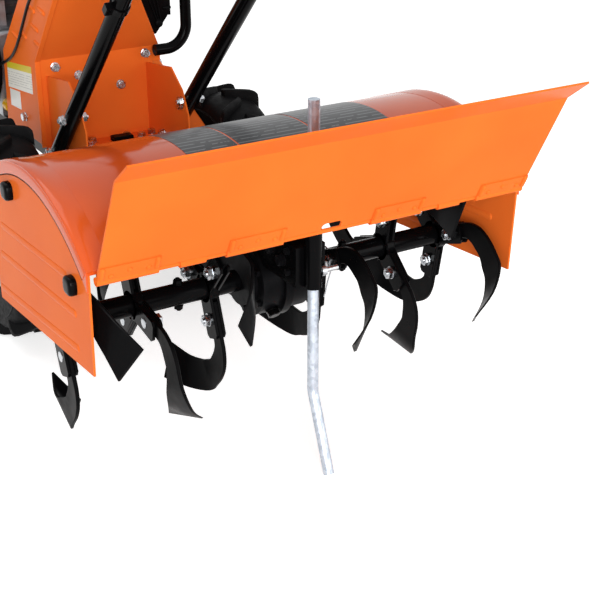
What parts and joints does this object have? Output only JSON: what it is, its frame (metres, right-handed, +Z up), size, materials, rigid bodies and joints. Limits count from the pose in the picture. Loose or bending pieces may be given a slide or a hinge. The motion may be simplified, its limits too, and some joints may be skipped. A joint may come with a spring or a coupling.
{
  "type": "petrol tiller",
  "caption": "Walking petrol tiller with lugged drive wheels, a hooded tine rotor behind, a raised rear flap, a bent depth stake and a two-tube handlebar.",
  "frame": {"origin": "on the floor, straight below the middle of the wheels' axle", "axes": "+X to the machine's right along the axle, +Y forward to the engine, +Z up"},
  "size_m": [0.75, 1.846, 1.007],
  "materials": {
    "orange_paint": "gloss powder coat",
    "black_paint": "gloss black powder coat",
    "black_casting": "black painted casting",
    "grip_rubber": "moulded",
    "zinc_steel": "zinc plated",
    "engine_aluminium": "die cast",
    "black_plastic": "fine moulded grain",
    "yellow_plastic": "moulded",
    "muffler_steel": "heat-proof black paint",
    "cable_sheath": "extruded",
    "tyre": "moulded lugs",
    "rim_paint": "white paint",
    "axle_steel": "turned",
    "galvanised_steel": "galvanised"
  },
  "bodies": {
    "frame": {"gear_case": "black_casting", "engine_bed": "black_paint", "belt_tower": "orange_paint", "handlebar": "black_paint", "grip_left": "grip_rubber", "grip_right": "grip_rubber", "clutch_lever_left": "zinc_steel", "clutch_lever_right": "zinc_steel", "hood_shell": "orange_paint", "hood_side_left": "orange_paint", "hood_side_right": "orange_paint", "hood_hanger": "black_paint", "hinge_rod": "orange_paint", "stake_holder": "black_paint", "stake_pin": "zinc_steel", "engine_block": "engine_aluminium", "valve_cover": "engine_aluminium", "fan_housing": "black_paint", "fuel_tank": "black_paint", "fuel_cap": "black_plastic", "oil_plug": "yellow_plastic", "air_cleaner": "black_plastic", "muffler": "muffler_steel", "muffler_guard": "muffler_steel", "belt_cover": "orange_paint", "lift_loop": "black_paint", "shift_bracket": "black_paint", "gear_lever": "black_paint", "throttle_cable": "cable_sheath"},
    "wheel_left": {"tyre_left": "tyre", "rim_left": "rim_paint", "half_axle_left": "axle_steel"},
    "wheel_right": {"tyre_right": "tyre", "rim_right": "rim_paint", "half_axle_right": "axle_steel"},
    "rotor": {"rotor_shaft": "axle_steel", "rotor_left": "black_paint", "rotor_right": "black_paint"},
    "flap": {"rear_flap": "orange_paint"},
    "stake": {"depth_stake": "galvanised_steel"}
  },
  "joints": [
    {"name": "wheel_left_spin", "type": "hinge", "parent": "frame", "child": "wheel_left", "pos_m": [-0.237, 0, 0.205], "axis": [1, 0, 0], "continuous": true},
    {"name": "wheel_right_spin", "type": "hinge", "parent": "frame", "child": "wheel_right", "pos_m": [0.237, 0, 0.205], "axis": [1, 0, 0], "continuous": true},
    {"name": "rotor_spin", "type": "hinge", "parent": "frame", "child": "rotor", "pos_m": [0, -0.572, 0.275], "axis": [1, 0, 0], "continuous": true},
    {"name": "flap_hinge", "type": "hinge", "parent": "frame", "child": "flap", "pos_m": [0, -0.768, 0.42], "axis": [1, 0, 0], "range_deg": [0, 146]},
    {"name": "stake_slide", "type": "slide", "parent": "frame", "child": "stake", "axis": [0, 0, 1], "range_m": [0, 0.08]}
  ]
}
